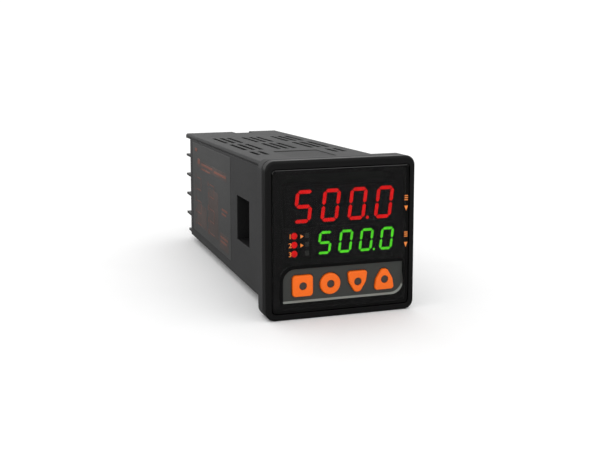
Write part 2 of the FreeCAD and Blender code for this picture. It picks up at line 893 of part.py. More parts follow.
def make_processor():
    """Flat square chip on the left board."""
    half = processor_side / 2
    return block((-side_board_x, -side_board_x + processor_height),
                 (processor_y - half, processor_y + half), (processor_z - half, processor_z + half))


# ---------------------------------------------------------------- terminals


def fin_heights():
    """Z of the fins, from the lowest up; the case's guard closes the top bay."""
    upper = [top_fin_z - index * fin_pitch for index in range(terminal_count - 1)]
    return [lowest_fin_z] + upper[::-1]


def bay_heights():
    """Z of the middle of every terminal bay, from the lowest up."""
    lows = [z + fin_thickness / 2 for z in fin_heights()]
    highs = [z - fin_thickness / 2 for z in fin_heights()[1:]] + [inside_half_height]
    return [(low + high) / 2 for low, high in zip(lows, highs)]


def make_terminal_block():
    """Right-hand block: a base in the case mouth, a spine and a fin under every bay."""
    mouth_x = inside_half_width - block_clearance
    mouth_z = inside_half_height - block_clearance
    outer_x = half_width - fin_side_inset
    base = block((block_inner_x, mouth_x), (block_base_front, block_base_rear), (-mouth_z, mouth_z))
    spine = block((block_inner_x, block_inner_x + block_spine), (block_base_rear, guard_rear),
                  (lowest_fin_z - fin_thickness / 2, mouth_z))
    fins = []
    for index, z in enumerate(fin_heights()):
        rear = guard_rear - (lowest_fin_shortening if index == 0 else 0)
        z_range = (z - fin_thickness / 2, z + fin_thickness / 2)
        fins.append(block((block_inner_x, mouth_x), (block_base_rear, case_length), z_range))
        fins.append(block((block_inner_x, outer_x), (case_length, rear), z_range))
    body = base.fuse([spine] + fins)
    slot = block((side_board_x - side_board_clearance, side_board_x + board_thickness + side_board_clearance),
                 (block_base_front - cutter_reach, block_base_front + block_slot_depth),
                 (-half_height, inside_half_height - side_board_top_gap + side_board_clearance))
    cutters = [slot]
    for z in bay_heights():
        cutters.append(rod_y(terminal_x, z, screw_diameter + 2 * screw_hole_clearance,
                             block_base_rear - screw_reach - screw_hole_clearance, block_base_rear + cutter_reach))
        cutters.append(pin_box(z, block_base_front - cutter_reach, block_base_rear + cutter_reach, pin_clearance))
    return body.cut(cutters).removeSplitter()


def pin_box(z, y_front, y_back, growth):
    """Flat pin along the inner face of the side board, grown all round."""
    x_range = (side_board_x - pin_thickness - growth, side_board_x + growth)
    half_w = pin_width / 2 + growth
    return block(x_range, (y_front, y_back), (z - half_w, z + half_w))


def make_terminal(z):
    """Plate with its pin, washer and screw of the right-hand terminal at z."""
    plate_back = block_base_rear + terminal_plate_thickness
    washer_back = plate_back + washer_thickness
    head_back = washer_back + screw_head_height
    half_w = terminal_plate_width / 2
    half_h = terminal_plate_height / 2
    hole = rod_y(terminal_x, z, screw_diameter + 2 * screw_hole_clearance, block_base_rear - cutter_reach, head_back)
    plate = block((terminal_x - half_w, terminal_x + half_w), (block_base_rear, plate_back), (z - half_h, z + half_h))
    pin = pin_box(z, block_base_front - pin_reach, block_base_rear, 0)
    plate = plate.fuse(pin).cut(hole).removeSplitter()
    half = washer_side / 2
    washer = block((terminal_x - half, terminal_x + half), (plate_back, washer_back), (z - half, z + half)).cut(hole)
    shank = rod_y(terminal_x, z, screw_diameter, block_base_rear - screw_reach, washer_back)
    head = rod_y(terminal_x, z, screw_head_diameter, washer_back, head_back)
    half_slot = screw_slot_length / 2
    slot_y = (head_back - screw_slot_depth, head_back + cutter_reach)
    slots = [
        block((terminal_x - half_slot, terminal_x + half_slot), slot_y,
              (z - screw_slot_width / 2, z + screw_slot_width / 2)),
        block((terminal_x - screw_slot_width / 2, terminal_x + screw_slot_width / 2), slot_y,
              (z - half_slot, z + half_slot)),
    ]
    screw = shank.fuse(head).cut(slots)
    return plate, washer, screw


def both_sides(solids):
    """Compound of right-hand solids and their mirror images."""
    return Part.Compound(solids + [mirrored(solid) for solid in solids])


def main():
    os.makedirs("parts", exist_ok=True)
    save("case", make_case())
    save("front_bezel", make_front_bezel())
    save("front_window", make_front_window())
    save("key_panel", make_key_panel())
    for index, name in enumerate(key_names):
        save("key_" + name, make_key(index))
        save("plunger_" + name, make_plunger(index))
        save("switch_" + name, make_switch(index))
    for name, digit, limits in (("upper", upper_digit, upper_display), ("lower", lower_digit, lower_display)):
        lit, dark = segment_solids(digit, "500.0")
        save(name + "_display", make_display(limits, lit + dark))
        save(name + "_lit_segments", Part.Compound(lit))
        save(name + "_dark_segments", Part.Compound(dark))
    output_lamps = make_output_lamps()
    status_lamps = make_status_lamps()
    save("output_lamps", Part.Compound(output_lamps))
    save("status_lamps", Part.Compound(status_lamps))
    save("lamp_holder", make_lamp_holder(output_lamps + status_lamps))
    save("display_board", make_display_board())
    save("control_board", make_side_board(-1))
    save("power_board", make_side_board(1))
    save("control_header", make_header(-1))
    save("power_header", make_header(1))
    for index in range(3):
        save("output_relay_" + str(index + 1), make_relay(index))
    save("transformer_core", make_transformer_core())
    save("transformer_bobbin", make_transformer_bobbin())
    save("bulk_capacitor", make_capacitor(bulk_capacitor_diameter, bulk_capacitor_length, bulk_capacitor_z))
    save("smoothing_capacitor",
         make_capacitor(smoothing_capacitor_diameter, smoothing_capacitor_length, smoothing_capacitor_z))
    save("processor", make_processor())
    right_block = make_terminal_block()
    save("terminal_block_right", right_block)
    save("terminal_block_left", mirrored(right_block))
    terminals = [make_terminal(z) for z in bay_heights()]
    save("terminal_plates", both_sides([plate for plate, washer, screw in terminals]))
    save("terminal_washers", both_sides([washer for plate, washer, screw in terminals]))
    save("terminal_screws", both_sides([screw for plate, washer, screw in terminals]))


main()
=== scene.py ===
"""Finish, marks, stage and camera for a square panel-mounted temperature controller.

Everything is in metres, with X to the right, Y to the rear and Z up, and the
origin at the centre of the panel plane behind the bezel.
"""

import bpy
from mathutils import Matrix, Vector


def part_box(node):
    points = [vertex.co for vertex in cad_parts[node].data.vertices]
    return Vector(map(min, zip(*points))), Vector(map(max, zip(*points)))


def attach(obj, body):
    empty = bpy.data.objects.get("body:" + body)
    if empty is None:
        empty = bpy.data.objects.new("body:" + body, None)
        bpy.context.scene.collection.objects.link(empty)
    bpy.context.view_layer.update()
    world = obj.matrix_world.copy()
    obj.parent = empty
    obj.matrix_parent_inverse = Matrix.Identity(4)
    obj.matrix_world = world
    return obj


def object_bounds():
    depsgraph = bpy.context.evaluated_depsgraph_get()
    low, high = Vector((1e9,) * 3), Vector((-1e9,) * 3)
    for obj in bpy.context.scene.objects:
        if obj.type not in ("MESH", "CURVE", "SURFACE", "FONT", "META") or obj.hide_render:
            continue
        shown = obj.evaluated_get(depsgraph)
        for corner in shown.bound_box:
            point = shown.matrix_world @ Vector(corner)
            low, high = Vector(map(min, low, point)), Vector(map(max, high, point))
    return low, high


bl_info = {
    "name": "Temperature Controller Finish",
    "version": (1, 0, 0),
    "blender": (4, 5, 0),
    "location": "View3D > Sidebar > Controller",
    "description": (
        "Gives a panel-mounted temperature controller its finishes, marks, stage and camera"),
    "category": "Object",
}

import math

import bmesh
import bpy
from mathutils import Matrix, Vector

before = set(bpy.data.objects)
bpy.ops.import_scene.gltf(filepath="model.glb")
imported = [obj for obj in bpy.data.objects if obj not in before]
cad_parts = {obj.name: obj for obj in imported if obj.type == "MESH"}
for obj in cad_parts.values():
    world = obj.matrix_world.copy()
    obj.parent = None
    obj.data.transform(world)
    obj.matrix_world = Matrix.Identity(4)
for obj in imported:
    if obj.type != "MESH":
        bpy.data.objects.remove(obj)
cad_low, cad_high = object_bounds()

HOUSING = "housing"
KEYS = ("set", "cycle", "down", "up")
MM = 0.001

# The left wall of the case lies this far outside the terminal block that it closes on.
WALL_CLEARANCE = 0.1 * MM
# The painted recess shade ends this far in front of the terminal blocks.
MASK_SETBACK = 4.0 * MM
# Samples of each softened edge, and how fast its tone rises as the edge turns: wear where the edge
# is made paler, painted shade where it is made darker.
EDGE_SAMPLES = 6
EDGE_WEAR_AND_SHADE_GAIN = 4.0
# Slow drift of the gloss over a moulding, in waves per metre.
GLOSS_SCALE = 90.0
# How strongly the finer layers of each noise show.
NOISE_ROUGHNESS = 0.55
# Height of a numeral in the built-in font, in font sizes.
NUMERAL_RATIO = 0.72

window_low, window_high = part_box("front_window")
block_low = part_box("terminal_block_left")[0]
upper_low, upper_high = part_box("upper_lit_segments")
lower_low, lower_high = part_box("lower_lit_segments")
lamps_low, lamps_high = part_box("output_lamps")
wall_x = block_low.x - WALL_CLEARANCE


# ------------------------------------------------------------------ settings


def colour_property(name, description, default):
    return bpy.props.FloatVectorProperty(
        name=name, description=description, default=default, size=3, subtype="COLOR",
        min=0.0, max=1.0)


def length_property(name, description, default):
    return bpy.props.FloatProperty(
        name=name, description=description, default=default, subtype="DISTANCE", unit="LENGTH",
        precision=5)


def factor_property(name, description, default):
    return bpy.props.FloatProperty(
        name=name, description=description, default=default, subtype="FACTOR", min=0.0, max=1.0)


def angle_property(name, description, default):
    return bpy.props.FloatProperty(
        name=name, description=description, default=math.radians(default), subtype="ANGLE",
        unit="ROTATION")


def number_property(name, description, default):
    return bpy.props.FloatProperty(name=name, description=description, default=default, min=0.0)


def power_property(name, description, default):
    return bpy.props.FloatProperty(
        name=name, description=description, default=default, subtype="POWER", unit="POWER")


class ControllerFinishes(bpy.types.PropertyGroup):
    """Colours and gloss of the controller's surfaces."""

    case_colour: colour_property(
        "Case", "Dark grey moulded plastic of the case", (0.040, 0.040, 0.0405))
    case_roughness: factor_property("Case roughness", "How matt the case is", 0.55)
    case_half_height: length_property(
        "Case half height", "From the middle of the case to its top face", 22.1 * MM)
    # Painted shade: the case colour is scaled by this gain in its pockets, slots and inside, where
    # light does not reach.
    pocket_shade_gain: factor_property(
        "Depth gain", "Brightness left in the pockets, slots and inside of the case", 0.3)
    fin_gain: factor_property("Fin gain", "Tone of the terminal blocks, against the case", 0.75)
    bezel_colour: colour_property(
        "Bezel", "Polished black plastic of the front cap", (0.0064, 0.0064, 0.0065))
    bezel_roughness: factor_property("Bezel roughness", "How matt the front cap is", 0.38)
    window_tint: colour_property("Window tint", "Smoked plastic of the window", (0.10, 0.10, 0.10))
    window_roughness: factor_property("Window roughness", "How matt the window is", 0.06)
    panel_colour: colour_property(
        "Key panel", "Satin grey plate round the keys", (0.038, 0.041, 0.037))
    # Painted highlight: the upward faces of the key panel, its lower lip above all, are made paler
    # by this gain.
    lip_highlight_gain: number_property("Lip gain", "How much paler the lower lip of the key panel is", 5.5)
    key_colour: colour_property("Keys", "Orange of the four keys", (0.91, 0.145, 0.004))
    dot_colour: colour_property(
        "Key dots", "Dark dot in the middle of each key", (0.05, 0.035, 0.028))
    red_light: colour_property(
        "Upper digits", "Light of the upper digits and output lamps", (1.0, 0.008, 0.008))
    red_strength: number_property("Red strength", "Strength of the light of the upper digits", 6.3)
    green_light: colour_property("Lower digits", "Light of the lower digits", (0.13, 1.0, 0.032))
    green_strength: number_property(
        "Green strength", "Strength of the light of the lower digits", 6.4)
    mark_colour: colour_property("Marks", "Orange of the printed marks", (0.88, 0.24, 0.03))
    # Painted highlight: a grey line along the top of the window stands in for the lit edge of its
    # recess.
    window_highlight_colour: colour_property(
        "Fine line", "Grey line along the top of the window", (0.045, 0.045, 0.045))
    label_colour: colour_property(
        "Side label", "Dark film on the left side of the case", (0.044, 0.044, 0.0435))
    tint_colour: colour_property(
        "Side fields", "Faint warm fields on the side label", (0.062, 0.045, 0.040))
    print_colour: colour_property(
        "Side print", "Faint red-brown print on the side label", (0.16, 0.055, 0.036))


class ControllerMarks(bpy.types.PropertyGroup):
    """Sizes of the printed marks, of the painted highlight line and of the dots in the keys."""

    thickness: length_property("Ink thickness", "How far a mark stands off its surface", 0.02 * MM)
    mark_height: length_property("Mark height", "Height of the marks beside the digits", 1.6 * MM)
    mark_line: length_property("Mark line", "Width of the lines in the marks", 0.34 * MM)
    mark_inset: length_property(
        "Mark inset", "Marks beside the digits, from the edge of the window", 1.15 * MM)
    mark_pitch: length_property("Mark pitch", "From one mark to the one below it", 3.25 * MM)
    mark_drop: length_property(
        "Mark drop", "Middle of a pair of marks, below the middle of its digits", 0.55 * MM)
    number_height: length_property(
        "Number height", "Height of the numbers beside the lamps", 1.5 * MM)
    # Width of the painted highlight line along the top of the window.
    window_line: length_property(
        "Window line", "Width of the fine line along the top of the window", 0.24 * MM)
    line_inset: length_property("Line inset", "Fine line, from the sides of the window", 1.0 * MM)
    line_drop: length_property("Line drop", "Fine line, below the top of the window", 0.35 * MM)
    arrow_width: length_property(
        "Arrow width", "Width of the marks beside the status lamps", 1.0 * MM)
    arrow_height: length_property(
        "Arrow height", "Height of the marks beside the status lamps", 1.2 * MM)
    film_thickness: length_property("Film thickness", "Thickness of the side label", 0.06 * MM)
    line_width: length_property("Line width", "Width of the lines of the side print", 0.35 * MM)
    side_height: length_property(
        "Side number height", "Height of the numbers in the side print", 2.2 * MM)
    dot_radius: length_property("Dot radius", "Radius of the dark dot in each key", 1.15 * MM)
    dot_sink: length_property("Dot sink", "From the face of a key down to its dot", 0.12 * MM)
    dot_depth: length_property("Dot depth", "Depth of a dot", 0.36 * MM)
    dot_round: length_property("Dot rounding", "Radius of the rim of a dot", 0.12 * MM)


class ControllerStage(bpy.types.PropertyGroup):
    """Camera, floor and lights."""

    azimuth: angle_property(
        "Azimuth", "Turn of the camera round the controller, to its left", -14.34)
    elevation: angle_property("Elevation", "Height of the line of sight above the horizon", 6.148)
    roll: angle_property("Roll", "Turn of the camera about its own line of sight", -0.70)
    distance: length_property("Distance", "Distance of the camera from its target", 0.25937)
    target: bpy.props.FloatVectorProperty(
        name="Target", description="Point that the camera looks at",
        default=(-0.03045, 0.03, 0.02459), subtype="TRANSLATION", unit="LENGTH", precision=5)
    lens: number_property("Lens", "Focal length in millimetres on a 36 mm sensor", 46.68)
    shift: bpy.props.FloatVectorProperty(
        name="Shift", description="Shift of the frame to the right and up, in frame widths",
        size=2, default=(0.148, -0.1293))
    floor_colour: colour_property("Floor", "Pale floor", (1.0, 1.0, 1.0))
    world_strength: number_property("Surround", "Brightness of the white surround", 1.08)
    top_power: power_property("Top light", "Power of the soft light above", 0.2)
    side_power: power_property("Side light", "Power of the soft light at the left", 0.1)


# ------------------------------------------------------------------ shader groups


def new_group(title, inputs, outputs):
    """Empty node group with named sockets, its input node and its output node."""
    tree = bpy.data.node_groups.new(title, "ShaderNodeTree")
    for name, kind, default in inputs:
        socket = tree.interface.new_socket(name=name, in_out="INPUT", socket_type=kind)
        socket.default_value = default
    for name, kind in outputs:
        tree.interface.new_socket(name=name, in_out="OUTPUT", socket_type=kind)
    return tree, tree.nodes.new("NodeGroupInput"), tree.nodes.new("NodeGroupOutput")


def noise_node(tree, coordinates, scale, detail):
    noise = tree.nodes.new("ShaderNodeTexNoise")
    tree.links.new(coordinates, noise.inputs["Vector"])
    if isinstance(scale, (int, float)):
        noise.inputs["Scale"].default_value = scale
    else:
        tree.links.new(scale, noise.inputs["Scale"])
    noise.inputs["Detail"].default_value = detail
    noise.inputs["Roughness"].default_value = NOISE_ROUGHNESS
    return noise


def math_node(tree, operation, first, second=None, clamp=False):
    node = tree.nodes.new("ShaderNodeMath")
    node.operation = operation
    node.use_clamp = clamp
    for socket, value in zip(node.inputs, (first, second)):
        if isinstance(value, (int, float)):
            socket.default_value = value
        elif value is not None:
            tree.links.new(value, socket)
    return node.outputs[0]


def moulded_surface_group():
    """Fine grain and softened edges, as one normal, with a slow spread of roughness."""
    if "Moulded Surface" in bpy.data.node_groups:
        return bpy.data.node_groups["Moulded Surface"]
    tree, given, result = new_group(
        "Moulded Surface",
        (("Grain Scale", "NodeSocketFloat", 2600.0), ("Grain Depth", "NodeSocketFloat", 0.00002),
         ("Grain Strength", "NodeSocketFloat", 0.35), ("Edge Radius", "NodeSocketFloat", 0.00018),
         ("Roughness", "NodeSocketFloat", 0.5), ("Roughness Spread", "NodeSocketFloat", 0.12)),
        (("Normal", "NodeSocketVector"), ("Roughness", "NodeSocketFloat")))
    coordinates = tree.nodes.new("ShaderNodeTexCoord").outputs["Object"]
    grain = noise_node(tree, coordinates, given.outputs["Grain Scale"], 3.0)
    broad = noise_node(tree, coordinates, GLOSS_SCALE, 4.0)
    edge = tree.nodes.new("ShaderNodeBevel")
    edge.samples = EDGE_SAMPLES
    tree.links.new(given.outputs["Edge Radius"], edge.inputs["Radius"])
    bump = tree.nodes.new("ShaderNodeBump")
    tree.links.new(given.outputs["Grain Strength"], bump.inputs["Strength"])
    tree.links.new(given.outputs["Grain Depth"], bump.inputs["Distance"])
    tree.links.new(grain.outputs["Fac"], bump.inputs["Height"])
    tree.links.new(edge.outputs["Normal"], bump.inputs["Normal"])
    offset = math_node(tree, "SUBTRACT", broad.outputs["Fac"], 0.5)
    spread = math_node(tree, "MULTIPLY", offset, given.outputs["Roughness Spread"])
    roughness = math_node(tree, "ADD", spread, given.outputs["Roughness"], clamp=True)
    tree.links.new(bump.outputs["Normal"], result.inputs["Normal"])
    tree.links.new(roughness, result.inputs["Roughness"])
    return tree


def tone_variation_group():
    """Base colour with slow cloudy changes, fine speckle and edges made paler for wear or, with a
    negative edge amount, darker for painted shade.
    """
    if "Tone Variation" in bpy.data.node_groups:
        return bpy.data.node_groups["Tone Variation"]
    tree, given, result = new_group(
        "Tone Variation",
        (("Color", "NodeSocketColor", (0.5, 0.5, 0.5, 1.0)),
         ("Cloud Scale", "NodeSocketFloat", 45.0), ("Cloud Amount", "NodeSocketFloat", 0.12),
         ("Speckle Scale", "NodeSocketFloat", 1800.0),
         ("Speckle Amount", "NodeSocketFloat", 0.12), ("Edge Amount", "NodeSocketFloat", 0.25),
         ("Edge Width", "NodeSocketFloat", 0.0003)),
        (("Color", "NodeSocketColor"),))
    coordinates = tree.nodes.new("ShaderNodeTexCoord").outputs["Object"]
    cloud = noise_node(tree, coordinates, given.outputs["Cloud Scale"], 3.0)
    speckle = noise_node(tree, coordinates, given.outputs["Speckle Scale"], 2.0)
    parts = []
    for noise, amount in ((cloud, "Cloud Amount"), (speckle, "Speckle Amount")):
        offset = math_node(tree, "SUBTRACT", noise.outputs["Fac"], 0.5)
        parts.append(math_node(tree, "MULTIPLY", offset, given.outputs[amount]))
    gain = math_node(tree, "ADD", math_node(tree, "ADD", *parts), 0.5)
    edge = tree.nodes.new("ShaderNodeBevel")
    edge.samples = EDGE_SAMPLES
    tree.links.new(given.outputs["Edge Width"], edge.inputs["Radius"])
    geometry = tree.nodes.new("ShaderNodeNewGeometry")
    dot = tree.nodes.new("ShaderNodeVectorMath")
    dot.operation = "DOT_PRODUCT"
    tree.links.new(edge.outputs["Normal"], dot.inputs[0])
    tree.links.new(geometry.outputs["Normal"], dot.inputs[1])
    turned = math_node(tree, "SUBTRACT", 1.0, dot.outputs["Value"])
    mask = math_node(tree, "MULTIPLY", turned, EDGE_WEAR_AND_SHADE_GAIN, clamp=True)
    amount = math_node(tree, "MULTIPLY", mask, given.outputs["Edge Amount"])
    lifted = math_node(tree, "ADD", math_node(tree, "MULTIPLY", gain, 2.0), amount)
    scaled = tree.nodes.new("ShaderNodeVectorMath")
    scaled.operation = "SCALE"
    tree.links.new(given.outputs["Color"], scaled.inputs[0])
    tree.links.new(lifted, scaled.inputs["Scale"])
    tree.links.new(scaled.outputs["Vector"], result.inputs["Color"])
    return tree


def recess_shade_mask_group():
    """Mask of what lies deeper than the outer walls of the case, where shade is painted: pockets,
    slots and the inside.
    """
    if "Depth Mask" in bpy.data.node_groups:
        return bpy.data.node_groups["Depth Mask"]
    tree, given, result = new_group(
        "Depth Mask",
        (("Half Width", "NodeSocketFloat", 0.02), ("Half Height", "NodeSocketFloat", 0.02),
         ("Rear", "NodeSocketFloat", 0.09), ("Start Depth", "NodeSocketFloat", 0.00005),
         ("Fade", "NodeSocketFloat", 0.00035)),
        (("Mask", "NodeSocketFloat"),))
    split = tree.nodes.new("ShaderNodeSeparateXYZ")
    tree.links.new(tree.nodes.new("ShaderNodeTexCoord").outputs["Object"], split.inputs["Vector"])
    across = math_node(tree, "SUBTRACT", given.outputs["Half Width"],
                       math_node(tree, "ABSOLUTE", split.outputs["X"]))
    down = math_node(tree, "SUBTRACT", given.outputs["Half Height"],
                     math_node(tree, "ABSOLUTE", split.outputs["Z"]))
    nearest = math_node(tree, "MINIMUM", across, down)
    deeper = math_node(tree, "SUBTRACT", nearest, given.outputs["Start Depth"])
    faded = math_node(tree, "DIVIDE", deeper, given.outputs["Fade"], clamp=True)
    ahead = math_node(tree, "LESS_THAN", split.outputs["Y"], given.outputs["Rear"])
    tree.links.new(math_node(tree, "MULTIPLY", faded, ahead), result.inputs["Mask"])
    return tree


def upward_highlight_mask_group():
    """Mask of the faces that look upwards more than a given slope, where a highlight is painted.
    """
    if "Upward Mask" in bpy.data.node_groups:
        return bpy.data.node_groups["Upward Mask"]
    tree, given, result = new_group(
        "Upward Mask", (("Slope", "NodeSocketFloat", 0.2), ("Fade", "NodeSocketFloat", 0.1)),
        (("Mask", "NodeSocketFloat"),))
    split = tree.nodes.new("ShaderNodeSeparateXYZ")
    geometry = tree.nodes.new("ShaderNodeNewGeometry")
    tree.links.new(geometry.outputs["Normal"], split.inputs["Vector"])
    above = math_node(tree, "SUBTRACT", split.outputs["Z"], given.outputs["Slope"])
    faded = math_node(tree, "DIVIDE", above, given.outputs["Fade"], clamp=True)
    tree.links.new(faded, result.inputs["Mask"])
    return tree


def place_group(tree, group, values):
    """Places a node group in a tree with its own values."""
    node = tree.nodes.new("ShaderNodeGroup")
    node.node_tree = group
    for name, value in values.items():
        node.inputs[name].default_value = value
    return node


# ------------------------------------------------------------------ materials


def new_material(name):
    """Material, its node tree and its shader."""
    material = bpy.data.materials.new(name)
    material.use_nodes = True
    return material, material.node_tree, material.node_tree.nodes["Principled BSDF"]


def plastic(name, colour, roughness, specular=0.5, cloud=0.12, speckle=0.12, edge=0.25,
            grain=0.35, grain_scale=2600.0, spread=0.12, metallic=0.0):
    """Moulded plastic with grain, tone variation and softened edges, slightly worn where the edge
    amount is positive and painted with shade where it is negative.
    """
    material, tree, shader = new_material(name)
    shader.inputs["Specular IOR Level"].default_value = specular
    shader.inputs["Metallic"].default_value = metallic
    tone = place_group(tree, tone_variation_group(), {
        "Color": (*colour, 1.0), "Cloud Amount": cloud, "Speckle Amount": speckle,
        "Edge Amount": edge})
    surface = place_group(tree, moulded_surface_group(), {
        "Grain Scale": grain_scale, "Grain Strength": grain, "Roughness": roughness,
        "Roughness Spread": spread})
    tree.links.new(tone.outputs["Color"], shader.inputs["Base Color"])
    tree.links.new(surface.outputs["Roughness"], shader.inputs["Roughness"])
    tree.links.new(surface.outputs["Normal"], shader.inputs["Normal"])
    return material


def scale_colour(material, group, values, gain):
    """Paints shade or a highlight into the base colour: darker or paler by a gain where a mask
    group says so.
    """
    tree = material.node_tree
    base = tree.nodes["Principled BSDF"].inputs["Base Color"]
    mask = place_group(tree, group, values)
    change = math_node(tree, "MULTIPLY", mask.outputs["Mask"], gain - 1.0)
    scaled = tree.nodes.new("ShaderNodeVectorMath")
    scaled.operation = "SCALE"
    tree.links.new(base.links[0].from_socket, scaled.inputs[0])
    tree.links.new(math_node(tree, "ADD", change, 1.0), scaled.inputs["Scale"])
    tree.links.new(scaled.outputs["Vector"], base)
    return material


def smoked(name, tint, roughness):
    """Clear smoked plastic with faint wipe marks in its gloss."""
    material, tree, shader = new_material(name)
    shader.inputs["Base Color"].default_value = (*tint, 1.0)
    shader.inputs["Transmission Weight"].default_value = 1.0
    shader.inputs["IOR"].default_value = 1.49
    surface = place_group(tree, moulded_surface_group(), {
        "Grain Scale": 260.0, "Grain Strength": 0.03, "Roughness": roughness,
        "Roughness Spread": 0.05, "Edge Radius": 0.1 * MM})
    tree.links.new(surface.outputs["Roughness"], shader.inputs["Roughness"])
    tree.links.new(surface.outputs["Normal"], shader.inputs["Normal"])
    return material


def glowing(name, colour, strength):
    """Lit resin with a faint cloudy unevenness, glossy on top; at a low strength, a painted glow
    on unlit lamps.
    """
    material, tree, shader = new_material(name)
    shader.inputs["Roughness"].default_value = 0.3
    tone = place_group(tree, tone_variation_group(), {
        "Color": (*colour, 1.0), "Cloud Scale": 700.0, "Cloud Amount": 0.35,
        "Speckle Amount": 0.1, "Edge Amount": 0.0})
    tree.links.new(tone.outputs["Color"], shader.inputs["Base Color"])
    tree.links.new(tone.outputs["Color"], shader.inputs["Emission Color"])
    shader.inputs["Emission Strength"].default_value = strength
    return material


def metal(name, colour, roughness):
    """Plated metal with a fine grain."""
    return plastic(name, colour, roughness, cloud=0.2, speckle=0.2, edge=0.3, grain=0.25,
                   grain_scale=1500.0, spread=0.2, metallic=1.0)


def dress(material, *nodes):
    """Puts one material on CAD nodes."""
    for name in nodes:
        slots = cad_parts[name].material_slots
        if not slots:
            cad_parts[name].data.materials.append(material)
        for place in slots:
            place.material = material


# ------------------------------------------------------------------ meshes


def new_piece(name, mesh, material, body):
    """Links a mesh as a piece of the controller that rides on a body."""
    piece = bpy.data.objects.new(name, mesh)
    bpy.context.scene.collection.objects.link(piece)
    piece.data.materials.clear()
    piece.data.materials.append(material)
    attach(piece, body)
    return piece


def merged_mesh(name, build):
    """One mesh from a function that adds to a bmesh."""
    shape = bmesh.new()
    build(shape)
    bmesh.ops.recalc_face_normals(shape, faces=shape.faces)
    mesh = bpy.data.meshes.new(name)
    shape.to_mesh(mesh)
    shape.free()
    return mesh


def add_number(shape, text, height, thickness, transform):
    """Adds an extruded number, centred on its own origin, then moved by a matrix."""
    curve = bpy.data.curves.new("number", "FONT")
    curve.body = text
    curve.align_x = "CENTER"
    curve.align_y = "CENTER"
    curve.size = height / NUMERAL_RATIO
    curve.extrude = thickness / 2
    curve.resolution_u = 3
    holder = bpy.data.objects.new("number", curve)
    bpy.context.scene.collection.objects.link(holder)
    bpy.context.view_layer.update()
    mesh = bpy.data.meshes.new_from_object(holder)
    mesh.transform(transform)
    shape.from_mesh(mesh)
    bpy.data.objects.remove(holder)
    bpy.data.curves.remove(curve)
    bpy.data.meshes.remove(mesh)


def facing_front(x, z):
    """Text plane on the window: reads from the front."""
    return Matrix(((1, 0, 0, x), (0, 0, -1, window_low.y), (0, 1, 0, z), (0, 0, 0, 1)))


def facing_left(outwards):
    """Text plane a little off the left side of the case: reads from the left."""
    return Matrix(((0, 0, -1, wall_x - outwards), (-1, 0, 0, 0), (0, 1, 0, 0), (0, 0, 0, 1)))


def add_plate(shape, transform, corners, thickness):
    """Adds a flat plate with straight sides, halfway through a text plane."""
    half = Vector((0, 0, thickness / 2))
    lower = [shape.verts.new(transform @ (Vector((*corner, 0)) - half)) for corner in corners]
    upper = [shape.verts.new(transform @ (Vector((*corner, 0)) + half)) for corner in corners]
    shape.faces.new(lower[::-1])
    shape.faces.new(upper)
    for index in range(len(corners)):
        following = (index + 1) % len(corners)
        shape.faces.new((lower[index], lower[following], upper[following], upper[index]))


def add_bar(shape, transform, x0, y0, x1, y1, width, thickness):
    """Adds a flat bar with square ends between two points of a text plane."""
    along = Vector((x1 - x0, y1 - y0)).normalized()
    across = Vector((-along.y, along.x)) * (width / 2)
    start, end = Vector((x0, y0)), Vector((x1, y1))
    corners = (start - across, end - across, end + across, start + across)
    add_plate(shape, transform, corners, thickness)


def add_disc(shape, centre, radius, depth, bevel, steps=48, rim_steps=4):
    """Adds a round button that faces -Y, with a rounded rim."""
    rings = []
    profile = [(radius, depth), (radius, bevel)]
    for step in range(1, rim_steps + 1):
        turn = math.pi / 2 * step / rim_steps
        profile.append((radius - bevel + bevel * math.cos(turn), bevel - bevel * math.sin(turn)))
    for ring_radius, back in profile:
        ring = []
        for index in range(steps):
            turn = 2 * math.pi * index / steps
            point = Vector((math.cos(turn) * ring_radius, back, math.sin(turn) * ring_radius))
            ring.append(shape.verts.new(centre + point))
        rings.append(ring)
    for first, second in zip(rings, rings[1:]):
        for index in range(steps):
            following = (index + 1) % steps
            shape.faces.new((first[index], first[following], second[following], second[index]))
    shape.faces.new(rings[0])
    shape.faces.new(rings[-1])


# ------------------------------------------------------------------ operators


class CONTROLLER_OT_case(bpy.types.Operator):
    """Gives the case and the terminal blocks their moulded grey finish, and paints shade into the
    pockets, slots and inside of the case
    """

    bl_idname = "controller.case"
    bl_label = "Case"

    def execute(self, context):
        finishes = context.scene.controller_finishes
        material = plastic("case_plastic", finishes.case_colour, finishes.case_roughness,
                           specular=0.13, cloud=0.16, speckle=0.22)
        # Painted shade: the case colour is darkened by this gain in its pockets, slots and inside.
        scale_colour(material, recess_shade_mask_group(), {
            "Half Width": -wall_x, "Half Height": finishes.case_half_height,
            "Rear": block_low.y - MASK_SETBACK}, finishes.pocket_shade_gain)
        dress(material, "case")
        fin_colour = [value * finishes.fin_gain for value in finishes.case_colour]
        fins = plastic("terminal_plastic", fin_colour, finishes.case_roughness, cloud=0.16,
                       speckle=0.2)
        dress(fins, "terminal_block_left", "terminal_block_right")
        return {"FINISHED"}


class CONTROLLER_OT_front(bpy.types.Operator):
    """Gives the front cap and its smoked window their gloss"""

    bl_idname = "controller.front"
    bl_label = "Front cap and window"

    def execute(self, context):
        finishes = context.scene.controller_finishes
        cap = plastic("bezel_plastic", finishes.bezel_colour, finishes.bezel_roughness,
                      specular=0.12, cloud=0.1, speckle=0.05, edge=0.1, grain=0.06,
                      grain_scale=900.0, spread=0.08)
        dress(cap, "front_bezel")
        window = smoked("window_plastic", finishes.window_tint, finishes.window_roughness)
        dress(window, "front_window")
        return {"FINISHED"}


